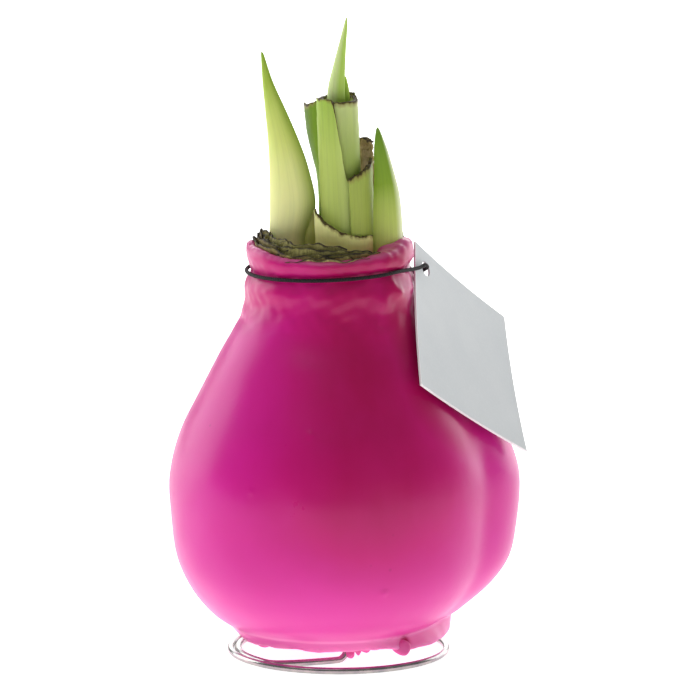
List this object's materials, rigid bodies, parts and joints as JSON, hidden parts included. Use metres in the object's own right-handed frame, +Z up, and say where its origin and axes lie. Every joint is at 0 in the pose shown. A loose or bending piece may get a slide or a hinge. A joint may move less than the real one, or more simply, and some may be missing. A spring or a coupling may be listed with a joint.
{
  "type": "waxed amaryllis bulb",
  "caption": "Waxed amaryllis bulb: a pear-shaped bulb in a pink wax skin with cut green leaves, standing on a coiled wire ring, with a square card tag on an elastic loop",
  "frame": {"origin": "the middle of the footprint, on the surface that the wire stand rests on", "axes": "+Z up through the bulb and its leaves; -Y is the front, where the taller leaf is on the left; +X is the side that the tag hangs on"},
  "size_m": [0.0934, 0.0838, 0.1667],
  "materials": {
    "wax_pink": "satin",
    "bulb_flesh": "matte",
    "wire_steel": "polished",
    "card_grey": "matte",
    "elastic_black": "matte",
    "leaf_green": "satin",
    "leaf_pale": "matte",
    "scale_brown": "matte"
  },
  "bodies": {
    "root": {"wax_coat": "wax_pink", "bulb": "bulb_flesh", "wire_stand": "wire_steel", "tag": "card_grey", "elastic_loop": "elastic_black", "left_leaf": "leaf_green", "tucked_leaf": "leaf_green", "right_leaf": "leaf_green", "right_leaf_inner": "leaf_green", "tip_leaf": "leaf_green", "tip_leaf_inner": "leaf_green", "inner_sheath": "leaf_green", "front_sheath": "leaf_green", "back_sheath": "leaf_green", "lower_sheath": "leaf_green", "base_scale": "leaf_pale", "left_cut_leaf": "leaf_green", "dry_stub": "scale_brown", "dry_scale_left": "scale_brown", "dry_scale_left_inner": "scale_brown", "dry_scale_front": "scale_brown", "dry_scale_front_inner": "scale_brown", "dry_scale_back": "scale_brown", "dry_scale_back_inner": "scale_brown", "dry_scale_right": "scale_brown"}
  },
  "joints": []
}
